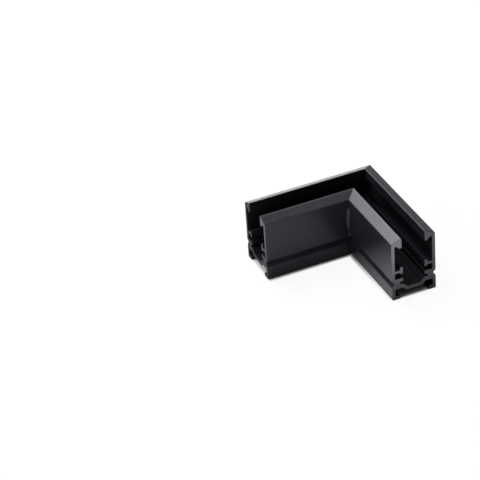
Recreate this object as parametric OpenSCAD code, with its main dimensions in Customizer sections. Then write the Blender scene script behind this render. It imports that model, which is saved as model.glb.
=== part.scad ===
// Corner connector for slim surface-mounted lighting track.
// Two lengths of the same aluminium profile are mitred at 45 degrees and closed into a right angle.
// The part stands on its feet at z = 0, with the lamp channel open upwards, the arms pointing to -X and -Y,
// and the origin under the middle of the square that the arms span.

/* [Corner] */
// Outside length of each arm, from the outer corner to the cut end
arm_length = 76; // [60:1:140]

/* [Profile] */
// Overall width of the profile
profile_width = 26; // [25:0.5:32]
// Overall height, from the feet to the peaks of the lips
profile_height = 38; // [36:0.5:46]
// Thickness of the side walls and the legs below them
wall = 1.9; // [1.5:0.1:2.4]
// Radius of the long outer edges, at the shoulders and the feet
edge_radius = 0.6; // [0.4:0.1:1.2]
// Radius of the tips of the lips, hooks, ribs and toes
tip_radius = 0.4; // [0.1:0.1:0.5]

/* [Lips] */
// Clear width of the slot between the lips
slot_width = 13.6; // [12:0.2:14.6]
// Rise of each lip from the shoulder to its peak beside the slot
lip_rise = 2.7; // [1:0.1:4]
// Height of the lip where it leaves the wall
lip_thickness = 1.8; // [1.2:0.1:2.4]
// Drop of the hook below the underside of the lip
hook_drop = 1.8; // [1:0.1:2.2]
// Flat width of the end of the hook
hook_width = 1.4; // [1.2:0.1:1.8]

/* [Ribs] */
// Clear width between the ribs on the two walls
rib_gap = 12.8; // [11:0.2:13.6]
// Height of the underside of the upper rib's web
upper_rib_z = 16.5; // [15.6:0.1:20]
// Thickness of the upper rib's web
web_thickness = 1.7; // [1.2:0.1:2.2]
// Thickness of the upright bar on the end of the upper rib
bar_width = 1.8; // [1.4:0.1:2.4]
// Rise of the bar above the web
bar_rise = 1.8; // [1:0.1:3]
// Drop of the bar below the web
bar_drop = 0.8; // [0.6:0.1:1.4]
// Height of the underside of the lower rib's tip
lower_rib_z = 10.5; // [10:0.1:11.2]
// Thickness of the lower rib
lower_rib_thickness = 2.5; // [1.6:0.1:3]
// Depth of the notch under the lower rib's tip
notch_depth = 1.8; // [1:0.1:2.6]

/* [Floor] */
// Height of the underside of the floor's trough
floor_z = 4.4; // [3.4:0.1:5]
// Thickness of the floor in the trough
floor_thickness = 2.2; // [1.6:0.1:2.8]
// Width of the flat bottom of the trough, inside
trough_width = 7.6; // [5:0.2:8.4]
// Width of the flat bottom of the trough, underneath
trough_base = 9.6; // [8:0.2:11]
// Height of the ledges on both sides of the trough
ledge_z = 9.2; // [8.6:0.1:9.6]
// Height of the pockets' ceiling, between the trough and the legs
pocket_z = 6.4; // [5.6:0.1:7]

/* [Feet] */
// Reach of each toe inwards from its leg
toe_reach = 2.7; // [1.2:0.1:3.4]
// Height of the toe at its tip
toe_tip = 1.8; // [1:0.1:2.2]
// Height of the toe where it leaves the leg
toe_root = 2.6; // [2.2:0.1:3.4]

/* [Side groove] */
// Height of the deepest line of the groove along the outside of each wall
groove_z = 10.3; // [9.8:0.1:11]
// Depth of the groove
groove_depth = 1.5; // [0.8:0.1:2]
// Height of the groove's steeper flank, above its deepest line
groove_above = 1.6; // [1:0.1:2.4]
// Height of the groove's flatter flank, below its deepest line
groove_below = 2.4; // [1:0.1:3.2]

/* [Hidden] */

finish = [0.16, 0.16, 0.18];
arc_steps = 4;

half_width = profile_width / 2;
wall_inside = half_width - wall;
slot_side = slot_width / 2;
lip_slope = atan(lip_rise / (half_width - slot_side));
// Sharp height of a lip's peak, which the rounding brings down to the overall height
peak_z = profile_height + tip_radius * (tan(lip_slope) + 1 / cos(lip_slope) - 1);
shoulder_z = peak_z - lip_rise;
lip_underside = shoulder_z - lip_thickness;
hook_z = lip_underside - hook_drop;
hook_back = slot_side + hook_width;

rib_tip = rib_gap / 2;
bar_back = rib_tip + bar_width;
web_top = upper_rib_z + web_thickness;
notch_back = rib_tip + notch_depth;
lower_rib_top = lower_rib_z + lower_rib_thickness;

floor_top = floor_z + floor_thickness;
trough_side = trough_width / 2;
trough_base_side = trough_base / 2;
toe_side = wall_inside - toe_reach;

// Offset of the centre lines' crossing from the middle of the square
crossing = (arm_length - profile_width) / 2;

function unit(v) = v / norm(v);

// Points of the arc that rounds corner b, between its neighbours a and c, where b = [x, y, radius]
function corner_arc(a, b, c) =
    let (
        here = [b.x, b.y],
        to_a = unit([a.x, a.y] - here),
        to_c = unit([c.x, c.y] - here),
        angle = acos(to_a * to_c),
        centre = here + unit(to_a + to_c) * b.z / sin(angle / 2),
        first = here + to_a * b.z / tan(angle / 2) - centre,
        start = atan2(first.y, first.x),
        turn = sign(cross(to_c, to_a)) * (180 - angle)
    )
    [for (step = [0:arc_steps])
        let (bearing = start + turn * step / arc_steps)
        centre + b.z * [cos(bearing), sin(bearing)]];

// Outline with each corner [x, y, radius] rounded, or kept sharp where it has no radius
function rounded(corners) =
    let (last = len(corners) - 1)
    [for (i = [0:last])
        let (
            before = corners[i == 0 ? last : i - 1],
            here = corners[i],
            after = corners[i == last ? 0 : i + 1]
        )
        each is_undef(here.z) ? [[here.x, here.y]] : corner_arc(before, here, after)];

// Outline's corners mirrored to the other side of the centre line, in the order that closes the loop
function other_side(corners) =
    [for (i = [len(corners) - 1:-1:0]) [-corners[i].x, corners[i].y, corners[i].z]];

// Corners of one half of the profile, as [distance from the centre line, height, radius].
// They run from the underside of the floor round the foot, the wall and the lip, and back to the floor's top.
half_profile = [
    [trough_base_side, floor_z, edge_radius],
    [trough_base_side + pocket_z - floor_z, pocket_z],
    [wall_inside, pocket_z],
    [wall_inside, toe_root],
    [toe_side, toe_tip, tip_radius],
    [toe_side, 0, tip_radius],
    [half_width, 0, edge_radius],
    [half_width, groove_z - groove_below, tip_radius],
    [half_width - groove_depth, groove_z],
    [half_width, groove_z + groove_above, tip_radius],
    [half_width, shoulder_z, edge_radius],
    [slot_side, peak_z, tip_radius],
    [slot_side, hook_z, tip_radius],
    [hook_back, hook_z, tip_radius],
    [hook_back + hook_drop, lip_underside],
    [wall_inside, lip_underside],
    [wall_inside, web_top],
    [bar_back, web_top],
    [bar_back, web_top + bar_rise, tip_radius],
    [rib_tip, web_top + bar_rise, tip_radius],
    [rib_tip, upper_rib_z - bar_drop, tip_radius],
    [bar_back, upper_rib_z - bar_drop, tip_radius],
    [bar_back, upper_rib_z],
    [wall_inside, upper_rib_z],
    [wall_inside, lower_rib_top],
    [rib_tip, lower_rib_top, tip_radius],
    [rib_tip, lower_rib_z, tip_radius],
    [notch_back, lower_rib_z],
    [notch_back, ledge_z],
    [trough_side + ledge_z - floor_top, ledge_z, tip_radius],
    [trough_side, floor_top, edge_radius]
];

// Cross-section of the track, seen along the arm
module track_profile() {
    polygon(rounded(concat(half_profile, other_side(half_profile))));
}

// Arm along -Y from the outer corner, with the crossing of the centre lines at the origin
module mitred_length() {
    difference() {
        translate([0, half_width, 0])
            rotate([90, 0, 0])
                linear_extrude(height = arm_length)
                    track_profile();
        mitre_waste();
    }
}

// Wedge that the 45 degree cut takes off the end of an arm
module mitre_waste() {
    clearance = 1;
    reach = half_width + clearance;
    translate([0, 0, -clearance])
        linear_extrude(height = profile_height + 2 * clearance)
            polygon([[-reach, -reach], [reach, reach], [-reach, reach]]);
}

module right_arm() {
    color(finish)
        translate([crossing, crossing, 0])
            mitred_length();
}

module left_arm() {
    color(finish)
        translate([crossing, crossing, 0])
            mirror([1, -1, 0])
                mitred_length();
}

left_arm();
right_arm();
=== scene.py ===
# %% [markdown]
# # A corner connector for lighting track
# The object is a right-angle corner for slim surface-mounted lighting track. Two short lengths of the
# same black aluminium profile are cut at 45 degrees and closed into an L. The lamp channel is open
# upwards between two hooked lips, and the feet stand on the floor at z = 0.
#
# The CAD model is the fixed frame of this scene: every size below is read from it, so the looks always
# sit exactly where the solids are. Its box is kept here.

# %% Load the frame
from math import cos, pi, radians, sin

import bmesh
import bpy
from mathutils import Matrix, Vector


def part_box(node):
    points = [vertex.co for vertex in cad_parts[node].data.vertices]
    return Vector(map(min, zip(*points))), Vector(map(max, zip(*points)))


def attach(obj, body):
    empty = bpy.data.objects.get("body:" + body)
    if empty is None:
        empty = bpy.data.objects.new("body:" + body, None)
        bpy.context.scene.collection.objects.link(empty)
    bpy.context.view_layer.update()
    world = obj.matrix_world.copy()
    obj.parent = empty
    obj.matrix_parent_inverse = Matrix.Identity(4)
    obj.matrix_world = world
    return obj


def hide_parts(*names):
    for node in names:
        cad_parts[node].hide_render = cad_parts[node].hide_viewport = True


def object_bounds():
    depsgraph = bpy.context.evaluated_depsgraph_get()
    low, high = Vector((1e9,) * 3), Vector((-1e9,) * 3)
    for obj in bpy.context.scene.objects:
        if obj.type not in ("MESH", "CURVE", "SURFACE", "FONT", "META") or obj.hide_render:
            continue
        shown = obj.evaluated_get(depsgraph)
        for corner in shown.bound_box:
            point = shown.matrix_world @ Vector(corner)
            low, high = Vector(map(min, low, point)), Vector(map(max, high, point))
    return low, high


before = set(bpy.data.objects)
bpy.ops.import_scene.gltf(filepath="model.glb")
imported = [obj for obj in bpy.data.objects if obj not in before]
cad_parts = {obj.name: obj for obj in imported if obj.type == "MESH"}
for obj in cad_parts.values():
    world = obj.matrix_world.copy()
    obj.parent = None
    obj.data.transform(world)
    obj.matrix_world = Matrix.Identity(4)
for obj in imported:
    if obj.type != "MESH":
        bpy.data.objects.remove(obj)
cad_low, cad_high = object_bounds()
MM = 0.001
print("CAD box in mm:", [round(side / MM, 2) for side in cad_high - cad_low])

# %% [markdown]
# ## Writing node trees as sums
# A node tree is easier to read when it looks like arithmetic. `Wire` wraps one output socket, and each
# operator used on it adds a Math node. `Sheet` wraps a whole tree, of a finish or of Geometry Nodes, and
# its one method adds any other node. The settings go in first, because they decide which sockets the node
# has.

# %% Wires and sheets
class Wire:
    """An output socket that can take part in sums."""

    def __init__(self, sheet, socket):
        self.sheet, self.socket = sheet, socket

    def __getitem__(self, name):
        return Wire(self.sheet, self.socket.node.outputs[name])

    def math(self, operation, first, second=0.0):
        return self.sheet.node("ShaderNodeMath", {"operation": operation}, {0: first, 1: second})

    def __add__(self, other): return self.math("ADD", self, other)
    def __sub__(self, other): return self.math("SUBTRACT", self, other)
    def __rsub__(self, other): return self.math("SUBTRACT", other, self)
    def __mul__(self, other): return self.math("MULTIPLY", self, other)
    def __lt__(self, other): return self.math("LESS_THAN", self, other)
    def __gt__(self, other): return self.math("GREATER_THAN", self, other)
    def __abs__(self): return self.math("ABSOLUTE", self)
    __radd__, __rmul__ = __add__, __mul__


class Sheet:
    """A node tree with one method that adds any node."""

    def __init__(self, tree):
        self.tree = tree
        self.tree.nodes.clear()

    def node(self, kind, settings=None, sockets=None):
        made = self.tree.nodes.new(kind)
        for name, value in (settings or {}).items():
            setattr(made, name, value)
        for name, value in (sockets or {}).items():
            named = [s for s in made.inputs if s.enabled and s.name == name]
            socket = named[0] if named else made.inputs[name]
            for source in value if isinstance(value, list) else [value]:
                if isinstance(source, Wire):
                    self.tree.links.new(source.socket, socket)
                else:
                    socket.default_value = source
        shown = [s for s in made.outputs if s.enabled]
        return Wire(self, shown[0]) if shown else None


print("wires and sheets are ready")

# %% [markdown]
# ## Finishes: a place in millimetres
# The finishes are procedural and follow the object's own coordinates, so that they stay on the metal in
# every view. Object coordinates are in metres, which makes texture scales hard to judge. A Mapping node
# turns them into millimetres, and can stretch them, and noise on top of it gives the variation.

# %% A new finish
def new_finish(name):
    material = bpy.data.materials.new(name)
    material.use_nodes = True
    return material, Sheet(material.node_tree)


def place_mm(sheet, stretch=(1, 1, 1)):
    where = sheet.node("ShaderNodeTexCoord")["Object"]
    scale = tuple(factor / MM for factor in stretch)
    return sheet.node("ShaderNodeMapping", {"vector_type": "POINT"}, {"Vector": where, "Scale": scale})


def noise(sheet, where, per_mm, detail):
    return sheet.node("ShaderNodeTexNoise", {"noise_dimensions": "3D"},
                      {"Vector": where, "Scale": per_mm, "Detail": detail, "Roughness": 0.55})["Fac"] - 0.5


def blend(sheet, factor, first, second):
    return sheet.node("ShaderNodeMix", {"data_type": "RGBA"}, {"Factor": factor, "A": first, "B": second})


def rise(sheet, value, start, end):
    return sheet.node("ShaderNodeMapRange", {"interpolation_type": "SMOOTHSTEP"},
                      {"Value": value, "From Min": start, "From Max": end})


def sides_mm(sheet, where):
    apart = sheet.node("ShaderNodeSeparateXYZ", {}, {"Vector": where})
    return apart["X"], apart["Y"], apart["Z"]


print("finishes are measured in millimetres,", round(1 / MM), "to the metre")

# %% [markdown]
# ## The black coat
# Track profile is extruded, then coated satin black. Close up, the coat has a very fine grain, and the
# die leaves faint lines that run the length of the arm and show through it. The lines are noise that is
# stretched along the arm, so each arm has its own copy of the finish with its own direction.
#
# Handling rubs the coat where it stands out: paler and duller at the cut end, in a thin line along the
# peak of each lip, more faintly along its shoulder, and in a few scuffs on the slope between them. The
# distance from the end and the height, each shifted by a little noise, tell the shader where that is.

# %% Black coat
def black_coat(name, node, along):
    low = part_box(node)[0]
    material, sheet = new_finish(name)
    where = place_mm(sheet)
    grain = noise(sheet, where, 3.2, 2.0)
    patches = noise(sheet, where, 0.06, 2.0)
    lines = noise(sheet, place_mm(sheet, [0.012 if axis == along else 1.6 for axis in range(3)]), 1.0, 3.0)

    side = sides_mm(sheet, where)
    rubbed = 1 - rise(sheet, side[along] - low[along] / MM + 1.2 * patches, 0.2, 1.6)
    from_top = cad_high.z / MM - side[2] + 0.5 * noise(sheet, where, 0.7, 2.0)
    peak = 1 - rise(sheet, from_top, 0.25, 0.50)
    shoulder = rise(sheet, from_top, 2.2, 2.4) * (1 - rise(sheet, from_top, 2.8, 3.0))
    scuffs = rise(sheet, noise(sheet, where, 0.4, 4.0), 0.03, 0.22) * (1 - rise(sheet, from_top, 2.2, 2.6))

    coat = blend(sheet, 0.5 + 1.1 * patches + 0.3 * lines + 0.4 * rubbed,
                 (0.0060, 0.0057, 0.0092, 1), (0.0125, 0.0120, 0.0180, 1))
    worn = peak + 0.45 * shoulder + 0.4 * scuffs * (1 - peak)
    colour = blend(sheet, worn, coat, (0.0310, 0.0300, 0.0350, 1))
    relief = sheet.node("ShaderNodeBump", {}, {
        "Strength": 1.0, "Distance": 0.006 * MM, "Height": grain + 0.04 * lines})
    shader = sheet.node("ShaderNodeBsdfPrincipled", {}, {
        "Base Color": colour, "IOR": 1.42, "Specular Tint": (0.93, 0.91, 1.0, 1), "Normal": relief,
        "Roughness": 0.30 + 0.10 * patches + 0.03 * lines + 0.05 * grain + 0.06 * rubbed})
    sheet.node("ShaderNodeOutputMaterial", {}, {"Surface": shader})
    print(name, "runs along", "XYZ"[along])
    return material


X, Y = 0, 1
coat_left = black_coat("black_coat_left", "left_arm", X)
coat_right = black_coat("black_coat_right", "right_arm", Y)

# %% [markdown]
# ## The flat black inside
# The spray hardly reaches into the channel and behind the lips. The coat is thin and dusty there, so it
# has no sheen, and the ribs sink into an even, deep black. One finish serves both arms: a low refractive
# index and a high roughness take the sheen away, and a soft cloud keeps the colour from being dead flat.

# %% Flat black
def flat_black(name):
    material, sheet = new_finish(name)
    where = place_mm(sheet)
    dust, cloud = noise(sheet, where, 2.2, 3.0), noise(sheet, where, 0.12, 2.0)
    colour = blend(sheet, 0.5 + 1.2 * cloud + 0.8 * dust,
                   (0.0070, 0.0066, 0.0092, 1), (0.0122, 0.0116, 0.0152, 1))
    relief = sheet.node("ShaderNodeBump", {}, {"Strength": 1.0, "Distance": 0.010 * MM, "Height": dust})
    shader = sheet.node("ShaderNodeBsdfPrincipled", {}, {
        "Base Color": colour, "IOR": 1.12, "Normal": relief,
        "Roughness": 0.62 + 0.15 * cloud + 0.15 * dust})
    sheet.node("ShaderNodeOutputMaterial", {}, {"Surface": shader})
    print(name, "has", len(sheet.tree.nodes), "nodes")
    return material


inside_black = flat_black("flat_black_inside")

# %% [markdown]
# ## The sawn ends
# The two open ends are cut with a circular saw, so the whole profile shows there as a paler, duller face
# with fine curved tooth marks. The marks are circles round the middle of the blade: the distance to that
# point drives a noise, which makes rings of uneven width. The colour also holds painted shade: the cut
# grows darker towards the feet and the outer wall, and the left end is given a darker tone than the right
# one.

# %% Sawn end
def sawn_end(name, along, blade_middle, light):
    material, sheet = new_finish(name)
    where = place_mm(sheet)
    radius = sheet.node("ShaderNodeVectorMath", {"operation": "DISTANCE"},
                        {0: where, 1: tuple(side / MM for side in blade_middle)})["Value"]
    teeth = sheet.node("ShaderNodeTexNoise", {"noise_dimensions": "1D"},
                       {"W": radius, "Scale": 2.6, "Detail": 3.0, "Roughness": 0.7})["Fac"] - 0.5
    specks = noise(sheet, where, 1.3, 3.0)

    side = sides_mm(sheet, where)
    # Painted shade: the cut's colour is darker towards the feet and towards the outer wall
    painted_shading = rise(sheet, side[2], -2, 34) * (1 - 0.85 * rise(sheet, side[1 - along], 16, 36))
    colour = blend(sheet, painted_shading * (0.85 + 0.9 * teeth + 0.5 * specks),
                   tuple(0.3 * c for c in light), light)
    relief = sheet.node("ShaderNodeBump", {}, {
        "Strength": 1.0, "Distance": 0.012 * MM, "Height": teeth + 0.3 * specks})
    shader = sheet.node("ShaderNodeBsdfPrincipled", {}, {
        "Base Color": colour, "Metallic": 1.0, "Specular Tint": (0.5, 0.5, 0.52, 1), "Normal": relief,
        "Roughness": 0.42 + 0.25 * teeth + 0.15 * specks})
    sheet.node("ShaderNodeOutputMaterial", {}, {"Surface": shader})
    print(name, "blade at", [round(side / MM) for side in blade_middle], "mm")
    return material


BLADE_DROP, BLADE_SIDE = 110 * MM, 60 * MM
# Painted light and shade: the same cut gets a darker tone at the left end than at the right end
sawn_left = sawn_end("sawn_end_left", X, (cad_low.x, cad_high.y - BLADE_SIDE, -BLADE_DROP),
                     light=(0.182, 0.179, 0.195, 1))
sawn_right = sawn_end("sawn_end_right", Y, (cad_high.x - BLADE_SIDE, cad_low.y, -BLADE_DROP),
                      light=(0.228, 0.224, 0.242, 1))

# %% [markdown]
# ## The profile at the open end
# An extrusion is one outline pushed through a die. The outline could be drawn again point by point, but
# the CAD solid already shows it at its cut end. The triangles that lie in that plane are collected, and
# the edges that only one of them uses are walked round into a loop. The loop becomes one face, as the
# opening of the die.

# %% Read the die opening
def die_opening(node, along):
    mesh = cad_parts[node].data
    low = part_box(node)[0][along]
    key = lambda v: tuple(round(c / MM, 4) for c in mesh.vertices[v].co)
    steps = set()
    for face in mesh.polygons:
        ring = [key(v) for v in face.vertices]
        if all(abs(point[along] * MM - low) < 1e-6 for point in ring):
            steps.update(zip(ring, ring[1:] + ring[:1]))
    following = {a: b for a, b in steps if (b, a) not in steps}
    point = start = next(iter(sorted(following)))
    loop = [start]
    while (point := following[point]) != start:
        loop.append(point)
    print(node, "outline has", len(loop), "points")
    return [Vector(point) * MM for point in reversed(loop)]


def die_face(name, outline):
    plate = bmesh.new()
    plate.faces.new([plate.verts.new(point) for point in outline])
    mesh = bpy.data.meshes.new(name)
    plate.to_mesh(mesh)
    plate.free()
    return mesh


outlines = {"left_arm": die_opening("left_arm", X), "right_arm": die_opening("right_arm", Y)}

# %% [markdown]
# ## Pushing the profile along the arm
# Each arm follows one rule: every point of the outline travels along the arm until it meets the mitre,
# which is the plane x = y. That is what Geometry Nodes are good at. The face is extruded in place, its
# front is moved by a distance that each point works out for itself, and the open end gets the face back.
# Edges also get a bevel weight here: more at the sawn end, less along the profile, and least at the
# mitre, where the arms close tightly. Last, the tree hands out the three finishes: the coat everywhere,
# then the flat black in the channel and its mouth, then the sawn face at the open end.

# %% Geometry Nodes for an arm
TOUCHING, WELD = 0.001 * MM, 0.002 * MM


def arm_tree():
    tree = bpy.data.node_groups.new("pushed_profile", "GeometryNodeTree")
    sheet = Sheet(tree)
    sockets = {}
    for name, kind in (("Die", "Geometry"), ("Along", "Vector"), ("Across", "Vector"),
                       ("Cut End", "Float"), ("Profile Break", "Float"), ("Mitre Break", "Float"),
                       ("Middle", "Float"), ("Channel", "Vector"), ("Mouth", "Vector"),
                       ("Coat", "Material"), ("Inside", "Material"), ("Sawn", "Material")):
        sockets[name] = tree.interface.new_socket(name, in_out="INPUT", socket_type="NodeSocket" + kind)
    tree.interface.new_socket("Arm", in_out="OUTPUT", socket_type="NodeSocketGeometry")
    given = sheet.node("NodeGroupInput")

    where = sheet.node("GeometryNodeInputPosition")
    dot = lambda a, b: sheet.node("ShaderNodeVectorMath", {"operation": "DOT_PRODUCT"},
                                  {0: a, 1: b})["Value"]
    reach, side = dot(where, given["Along"]), dot(where, given["Across"])

    pushed = sheet.node("GeometryNodeExtrudeMesh", {"mode": "FACES"}, {
        "Mesh": given["Die"], "Offset Scale": 0.0, "Individual": False})
    travel = sheet.node("ShaderNodeVectorMath", {"operation": "SCALE"},
                        {"Vector": given["Along"], "Scale": side - reach})
    mitred = sheet.node("GeometryNodeSetPosition", {}, {
        "Geometry": pushed, "Selection": pushed["Top"], "Offset": travel})
    back = sheet.node("GeometryNodeFlipFaces", {}, {"Mesh": given["Die"]})
    joined = sheet.node("GeometryNodeJoinGeometry", {}, {"Geometry": [mitred, back]})
    closed = sheet.node("GeometryNodeMergeByDistance", {}, {"Geometry": joined, "Distance": WELD})

    corner = sheet.node("GeometryNodeInputMeshEdgeAngle")["Unsigned Angle"] > radians(35)
    at_end = abs(reach - given["Cut End"]) < TOUCHING
    at_mitre = abs(side - reach) < TOUCHING
    weight = corner * (at_end + at_mitre * given["Mitre Break"]
                       + (1 - at_end) * (1 - at_mitre) * given["Profile Break"])
    broken = sheet.node("GeometryNodeStoreNamedAttribute", {"data_type": "FLOAT", "domain": "EDGE"}, {
        "Geometry": closed, "Name": "bevel_weight_edge", "Value": weight})

    smooth = sheet.node("GeometryNodeSetShadeSmooth", {}, {"Geometry": broken})
    real = sheet.node("GeometryNodeRealizeInstances", {}, {"Geometry": smooth})
    coated = sheet.node("GeometryNodeSetMaterial", {}, {"Geometry": real, "Material": given["Coat"]})
    off_middle, height = abs(side - given["Middle"]), sides_mm(sheet, where)[2]
    within = lambda sizes: (off_middle < sizes[0]) * (height < sizes[2])
    hidden = within(sides_mm(sheet, given["Channel"])) + within(sides_mm(sheet, given["Mouth"]))
    dusted = sheet.node("GeometryNodeSetMaterial", {}, {
        "Geometry": coated, "Selection": hidden > 0.5, "Material": given["Inside"]})
    facing = dot(sheet.node("GeometryNodeInputNormal"), given["Along"]) < -0.9
    finished = sheet.node("GeometryNodeSetMaterial", {}, {
        "Geometry": dusted, "Selection": facing, "Material": given["Sawn"]})
    sheet.node("NodeGroupOutput", {}, {"Arm": finished})
    return tree, sockets


pushed_profile, arm_sockets = arm_tree()
print("the arm's tree has", len(pushed_profile.nodes), "nodes")

# %% [markdown]
# ## Finishing an arm
# The tree gives a sharp prism. Real edges are never that sharp: a Bevel that follows the weights takes
# the sawn edges off by a fifth of a millimetre and rounds the inner corners of the profile. Weighted
# normals then keep the flats flat up to the rounded edges. The result is copied to a plain mesh, with no
# modifier left on it, and takes the place of the CAD solid.

# %% Make an arm
EDGE_BREAK = 0.2 * MM
HALF_WIDTH = 13 * MM
CENTRE_LINE = cad_high.x - HALF_WIDTH
# Half width and top of the dull zones, measured from the centre line and from the floor
CHANNEL = Vector((11.15, 0, 33.9)) * MM
MOUTH = Vector((6.82, 0, 37.6)) * MM


def make_arm(name, node, along, coat, sawn):
    axis = Vector([float(i == along) for i in range(3)])
    across = Vector((1, 1, 0)) - axis
    rough = bpy.data.objects.new("die_" + node, die_face("die_" + node, outlines[node]))
    bpy.context.scene.collection.objects.link(rough)
    for finish in (coat, inside_black, sawn):
        rough.data.materials.append(finish)

    push = rough.modifiers.new("push", "NODES")
    push.node_group = pushed_profile
    for socket, value in (("Along", axis), ("Across", across), ("Cut End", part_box(node)[0][along]),
                          ("Profile Break", 0.6), ("Mitre Break", 0.25), ("Middle", CENTRE_LINE),
                          ("Channel", CHANNEL), ("Mouth", MOUTH), ("Coat", coat), ("Inside", inside_black),
                          ("Sawn", sawn)):
        push[arm_sockets[socket].identifier] = value
    bevel = rough.modifiers.new("break_edges", "BEVEL")
    bevel.limit_method, bevel.width, bevel.segments = "WEIGHT", EDGE_BREAK, 2
    even = rough.modifiers.new("flat_flats", "WEIGHTED_NORMAL")
    even.weight, even.keep_sharp = 100, True

    seen = rough.evaluated_get(bpy.context.evaluated_depsgraph_get())
    arm = bpy.data.objects.new(name, bpy.data.meshes.new_from_object(seen))
    bpy.context.scene.collection.objects.link(arm)
    bpy.data.objects.remove(rough)
    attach(arm, "root")
    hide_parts(node)
    print(name, "has", len(arm.data.polygons), "faces and", [m.name for m in arm.data.materials])


make_arm("left_arm_track", "left_arm", X, coat_left, sawn_left)
make_arm("right_arm_track", "right_arm", Y, coat_right, sawn_right)

# %% [markdown]
# ## The bead in the inner corner
# The arms are joined along the mitre, and a short bead in the inner corner holds them while the joint
# sets. It is slim and hollow, is coated with the rest, and catches a streak of light. A little of it has
# run down to the groove and set there as a drop. The bead follows a path, so it gets a second small tree:
# a line up the corner, a hollow section swept along it, and a scale with two humps, one for the bead and
# one for the drop. Only the hollow side is shaded smooth, as the others lie inside the metal.

# %% Geometry Nodes for a bead
RINGS = 100
BLUNT = 0.35


def bead_tree():
    tree = bpy.data.node_groups.new("swept_bead", "GeometryNodeTree")
    sheet = Sheet(tree)
    sockets = {}
    for name, kind in (("Section", "Geometry"), ("Foot", "Vector"), ("Top", "Vector"),
                       ("Finish", "Material")):
        sockets[name] = tree.interface.new_socket(name, in_out="INPUT", socket_type="NodeSocket" + kind)
    tree.interface.new_socket("Bead", in_out="OUTPUT", socket_type="NodeSocketGeometry")
    given = sheet.node("NodeGroupInput")

    line = sheet.node("GeometryNodeCurvePrimitiveLine", {}, {"Start": given["Foot"], "End": given["Top"]})
    path = sheet.node("GeometryNodeResampleCurve", {}, {"Curve": line, "Count": RINGS})
    turned = sheet.node("GeometryNodeSetCurveNormal", {"mode": "FREE"},
                        {"Curve": path, "Normal": (1, 0, 0)})
    part = sheet.node("GeometryNodeSplineParameter")["Factor"]

    def hump(start, end):
        inside = (part - start) * (end - part) * (4 / (end - start) ** 2)
        return part.math("POWER", part.math("MAXIMUM", inside, 0.0), BLUNT)

    swell = 0.04 + 0.92 * hump(0.21, 1.0) + 0.60 * hump(0.0, 0.13)
    section = sheet.node("GeometryNodeMeshToCurve", {}, {"Mesh": given["Section"]})
    swept = sheet.node("GeometryNodeCurveToMesh", {}, {
        "Curve": turned, "Profile Curve": section, "Scale": swell, "Fill Caps": True})
    outside = sheet.node("GeometryNodeFlipFaces", {}, {"Mesh": swept})

    hollow = sheet.node("ShaderNodeVectorMath", {"operation": "DOT_PRODUCT"}, {
        0: sheet.node("GeometryNodeInputNormal"), 1: (-1, -1, 0)})["Value"] > 0.5
    smooth = sheet.node("GeometryNodeSetShadeSmooth", {}, {"Geometry": outside, "Shade Smooth": hollow})
    real = sheet.node("GeometryNodeRealizeInstances", {}, {"Geometry": smooth})
    finished = sheet.node("GeometryNodeSetMaterial", {}, {"Geometry": real, "Material": given["Finish"]})
    sheet.node("NodeGroupOutput", {}, {"Bead": finished})
    return tree, sockets


swept_bead, bead_sockets = bead_tree()
print("the bead's tree has", len(swept_bead.nodes), "nodes")

# %% [markdown]
# The section is a quarter circle cut out of a square, with its hollow side towards the room. It is sunk a
# little into both walls, so that the edges of the bead close on the coat without a gap.

# %% Make the bead
SINK = 0.08 * MM
ARC_STEPS = 12


def hollow_section(radius, sink):
    turns = [radians(90 * step / ARC_STEPS) for step in range(ARC_STEPS + 1)]
    arc = [(sink + radius * (sin(turn) - 1), sink + radius * (cos(turn) - 1)) for turn in turns]
    return [Vector((x, y, 0)) for x, y in [(2 * sink, 2 * sink), (sink - radius, 2 * sink), *arc,
                                           (2 * sink, sink - radius)]]


def make_bead(name, radius, foot, top, finish):
    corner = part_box("right_arm")[0].x
    rough = bpy.data.objects.new("section", die_face("section", hollow_section(radius, SINK)))
    bpy.context.scene.collection.objects.link(rough)
    rough.data.materials.append(finish)
    sweep = rough.modifiers.new("sweep", "NODES")
    sweep.node_group = swept_bead
    for socket, value in (("Foot", Vector((corner, corner, foot))), ("Top", Vector((corner, corner, top))),
                          ("Finish", finish)):
        sweep[bead_sockets[socket].identifier] = value
    seen = rough.evaluated_get(bpy.context.evaluated_depsgraph_get())
    bead = bpy.data.objects.new(name, bpy.data.meshes.new_from_object(seen))
    bpy.context.scene.collection.objects.link(bead)
    bpy.data.objects.remove(rough)
    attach(bead, "root")
    sides = [[v.co[axis] / MM for v in bead.data.vertices] for axis in range(3)]
    print(name, "reaches", [(round(min(side), 2), round(max(side), 2)) for side in sides], "mm")


make_bead("inner_corner_bead", radius=2.6 * MM, foot=11.7 * MM, top=30.6 * MM, finish=coat_left)

# %% [markdown]
# ## The floor
# The connector stands on a plain white surface. The floor is a real diffuse sheet, so it takes the soft
# shadow and lights the walls from below. For the camera, most of it is a flat white, which keeps the
# background clean without more light on the object. Mirror-like rays see that white only farther away.
# Beside the walls and between the feet they and the camera see the real shadow. In the corner between the
# arms a painted shadow greys the sheet along the left arm, so that the legs stay dark there.

# %% White floor
def ray_kinds(sheet):
    path = sheet.node("ShaderNodeLightPath")
    return path["Is Camera Ray"], path.math("MAXIMUM", path["Is Glossy Ray"], path["Is Transmission Ray"])


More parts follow.
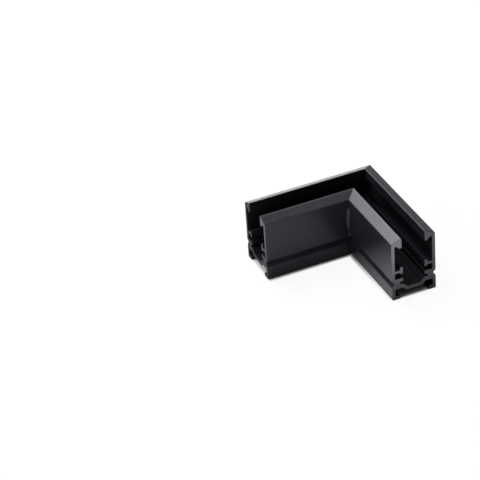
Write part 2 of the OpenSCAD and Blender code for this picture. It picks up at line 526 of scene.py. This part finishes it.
def white_floor():
    material, sheet = new_finish("white_floor")
    where = place_mm(sheet)
    x, y, _ = sides_mm(sheet, where)
    inner, outer, end = (side / MM for side in (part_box("right_arm")[0].x, cad_high.x, cad_low.x))
    below = lambda across, along: (rise(sheet, across, inner - 2.5, inner - 0.3) * (across < outer)
                                   * rise(sheet, along, end - 0.8, end + 1.2) * (along < outer))
    under = x.math("MAXIMUM", below(x, y), below(y, x))

    paper = blend(sheet, 0.5 + noise(sheet, where, 0.02, 2.0),
                  (0.86, 0.86, 0.86, 1), (0.90, 0.90, 0.90, 1))
    # Painted shadow: the sheet's colour is greyed in a band along the inner feet of the left arm
    beside = ((1 - rise(sheet, inner - y, 0, 13)) * (y < inner + 2)
              * rise(sheet, x, end - 6, end + 6) * (x < inner + 2))
    shaded = blend(sheet, 0.6 * beside, paper, (0.20, 0.20, 0.20, 1))
    real = sheet.node("ShaderNodeBsdfDiffuse", {}, {"Color": shaded})
    flat = sheet.node("ShaderNodeEmission", {}, {"Color": (1, 1, 1, 1), "Strength": 1.0})
    camera_ray, mirror_ray = ray_kinds(sheet)
    away = sheet.node("ShaderNodeVectorMath", {"operation": "LENGTH"}, {0: where})["Value"]
    far = rise(sheet, away, 90, 250)
    share = 0.92 * camera_ray * (1 - under) + 0.6 * mirror_ray * far
    mixed = sheet.node("ShaderNodeMixShader", {}, {0: share, 1: real, 2: flat})
    sheet.node("ShaderNodeOutputMaterial", {}, {"Surface": mixed})
    return material


HALF, DROP = 4.0, 0.05 * MM
floor = bpy.data.objects.new("floor", die_face("floor", [
    Vector((x, y, -DROP)) for x, y in ((-HALF, -HALF), (HALF, -HALF), (HALF, HALF), (-HALF, HALF))]))
floor.data.materials.append(white_floor())
bpy.context.scene.collection.objects.link(floor)
print("floor", 2 * HALF, "m wide")

# %% [markdown]
# ## The room
# Black satin metal is drawn by what it reflects. The room is pale overhead and behind, and dim in front,
# so that the walls grow darker towards the floor. The direction of a ray gives how far it looks up and
# back, and that drives the strength. The camera sees plain white instead, and mirror-like rays see a
# little of that white.

# %% Pale room
world = bpy.data.worlds.new("pale_room")
world.use_nodes = True
bpy.context.scene.world = world
room = Sheet(world.node_tree)
looking = room.node("ShaderNodeTexCoord")["Generated"]
upwards = sides_mm(room, looking)[2]
backwards = room.node("ShaderNodeVectorMath", {"operation": "DOT_PRODUCT"},
                      {0: looking, 1: (-0.1, 0.62, 0.78)})["Value"]
back, height = (looking.math("MAXIMUM", wire, 0.0) for wire in (backwards, upwards))
plain = 0.06 + 1.85 * back * back * (0.3 + 0.7 * height)
camera_ray, mirror_ray = ray_kinds(room)
background = room.node("ShaderNodeBackground", {}, {
    "Color": (1, 1, 1, 1), "Strength": plain + (1 - plain) * (camera_ray + 0.1 * mirror_ray)})
room.node("ShaderNodeOutputWorld", {}, {"Surface": background})
print("the room has", len(room.tree.nodes), "nodes")

# %% [markdown]
# ## The lamps
# A wide softbox behind, to the left, draws the slopes of the lips. A smaller one above it shades the left
# wall from top to bottom, and one on the left brightens the wall and the cut end of the right arm. A spot
# lights only the floor behind, because the farthest lip sees that floor at a grazing angle.

# %% Softboxes and spot
def softbox(name, azimuth, elevation, distance, size, radiance):
    lamp = bpy.data.lights.new(name, "AREA")
    lamp.shape, lamp.size, lamp.size_y = "RECTANGLE", *size
    lamp.energy = radiance * pi * size[0] * size[1]
    box = bpy.data.objects.new(name, lamp)
    a, e = radians(azimuth), radians(elevation)
    towards = Vector((sin(a) * cos(e), cos(a) * cos(e), sin(e)))
    box.location = towards * distance
    box.rotation_euler = towards.to_track_quat("Z", "Y").to_euler()
    box.visible_camera = False
    bpy.context.scene.collection.objects.link(box)
    print(name, "gives", round(lamp.energy, 2), "W")


def floor_spot(name, place, aim, angle, watts):
    lamp = bpy.data.lights.new(name, "SPOT")
    lamp.energy, lamp.spot_size, lamp.spot_blend, lamp.shadow_soft_size = watts, radians(angle), 0.6, 0.03
    spot = bpy.data.objects.new(name, lamp)
    spot.location = place
    spot.rotation_euler = (Vector(place) - Vector(aim)).to_track_quat("Z", "Y").to_euler()
    bpy.context.scene.collection.objects.link(spot)
    print(name, "gives", watts, "W")


softbox("softbox_behind", azimuth=-12, elevation=35, distance=0.9, size=(0.70, 0.50), radiance=1.55)
softbox("softbox_above", azimuth=-18, elevation=56, distance=0.9, size=(0.38, 0.34), radiance=10.0)
softbox("softbox_left", azimuth=-95, elevation=33, distance=0.9, size=(0.38, 0.34), radiance=7.7)
floor_spot("spot_on_the_floor_behind", place=(0.0, 0.75, 0.55), aim=(0.03, 0.30, 0.0), angle=24, watts=85)

# %% [markdown]
# ## The camera
# The view is a long lens from the front left, about a third of the way up, turned by a few degrees. The
# object stands in the right half of the picture, so the lens points at a spot on the floor beside it.

# %% Camera
lens = bpy.data.cameras.new("camera")
lens.sensor_width, lens.lens = 36.0, 176.65
lens.clip_start, lens.clip_end = 0.05, 30.0
camera = bpy.data.objects.new("camera", lens)
bpy.context.scene.collection.objects.link(camera)
AZIMUTH, ELEVATION, ROLL = radians(-21.71), radians(34.18), radians(-4.26)
AIM, DISTANCE = Vector((-35.77, 54.41, 0)) * MM, 1308.3 * MM
towards = Vector((sin(AZIMUTH) * cos(ELEVATION), -cos(AZIMUTH) * cos(ELEVATION), sin(ELEVATION)))
camera.location = AIM + towards * DISTANCE
camera.rotation_euler = (Matrix.Rotation(AZIMUTH, 3, "Z") @ Matrix.Rotation(pi / 2 - ELEVATION, 3, "X")
                         @ Matrix.Rotation(ROLL, 3, "Z")).to_euler()
bpy.context.scene.camera = camera
bpy.context.scene.view_settings.view_transform = "Standard"
print("camera at", [round(c, 4) for c in camera.location])
